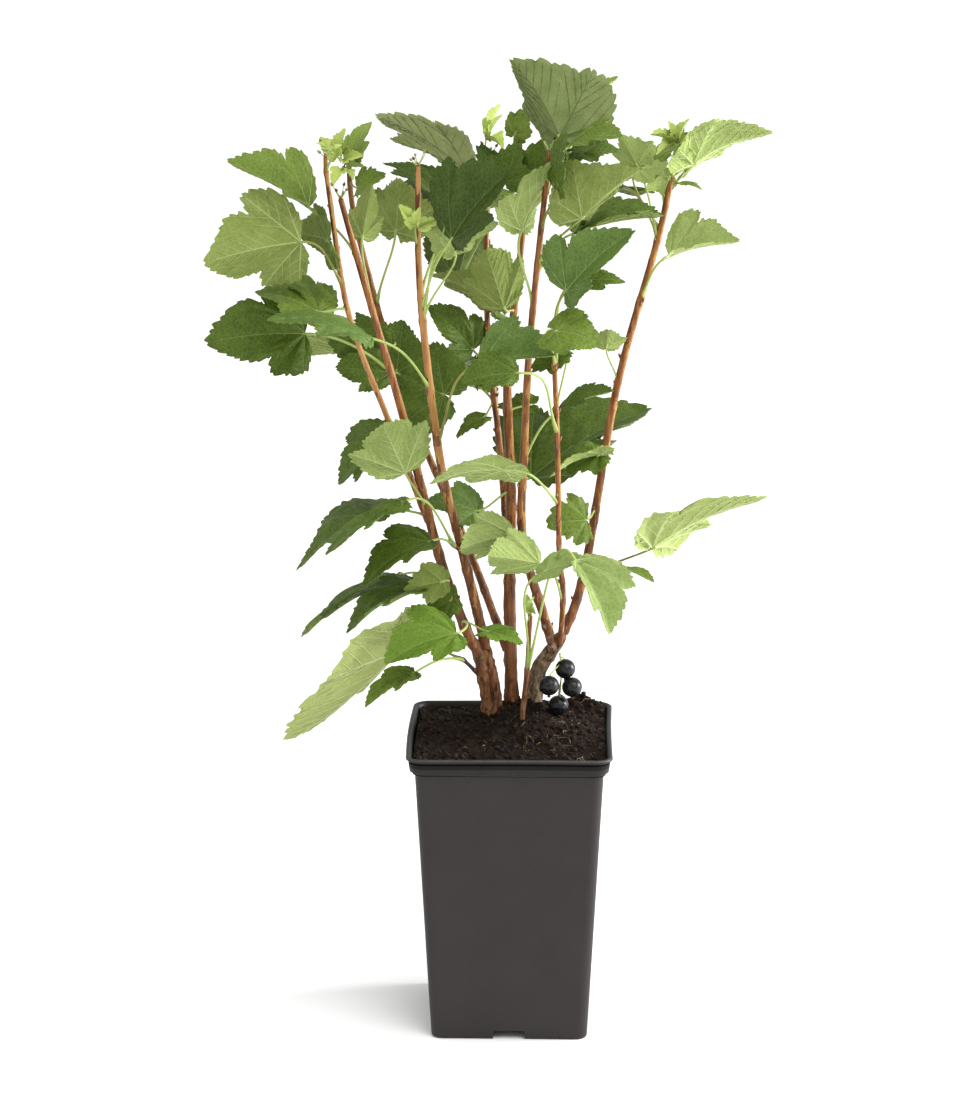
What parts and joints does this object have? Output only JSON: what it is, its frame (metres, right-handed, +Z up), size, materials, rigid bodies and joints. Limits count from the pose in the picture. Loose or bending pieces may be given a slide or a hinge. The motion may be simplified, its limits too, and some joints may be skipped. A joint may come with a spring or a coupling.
{
  "type": "potted blackcurrant bush",
  "caption": "Leafy blackcurrant bush with upright brown canes, lobed leaves and a hanging string of dark berries, growing in a deep square dark plastic pot of peat.",
  "frame": {"origin": "middle of the flat underside of the pot, on the floor", "axes": "+Z up, +X to the right and +Y away as the bush is seen from its front"},
  "size_m": [0.3996, 0.3004, 0.7251],
  "materials": {
    "pot": "dark charcoal, satin, with faint blotches",
    "soil": "dark moist peat with pale root bits",
    "stool_bark": "rough grey-brown bark",
    "cane_bark": "smooth reddish-brown bark with paler streaks",
    "leaf": "veined green above, paler below",
    "berry": "near-black glossy skin with a grey bloom"
  },
  "bodies": {
    "root": {"pot": "pot", "soil": "soil", "trunk_left": "stool_bark", "trunk_middle": "stool_bark", "trunk_right": "stool_bark", "bough_left": "cane_bark", "bough_left_back": "cane_bark", "bough_left_inner": "cane_bark", "bough_middle_back": "cane_bark", "bough_right_inner": "cane_bark", "bough_right": "cane_bark", "leaves_left": "leaf", "leaves_left_back": "leaf", "leaves_left_inner": "leaf", "leaves_middle": "leaf", "leaves_middle_back": "leaf", "leaves_right_inner": "leaf", "leaves_right_front": "leaf", "leaves_right": "leaf", "leaves_low_upper": "leaf", "leaves_low_middle": "leaf", "leaves_low_lower": "leaf", "leaves_dead_twig": "leaf", "leaves_stub": "leaf", "berry_string": "berry"}
  },
  "joints": []
}
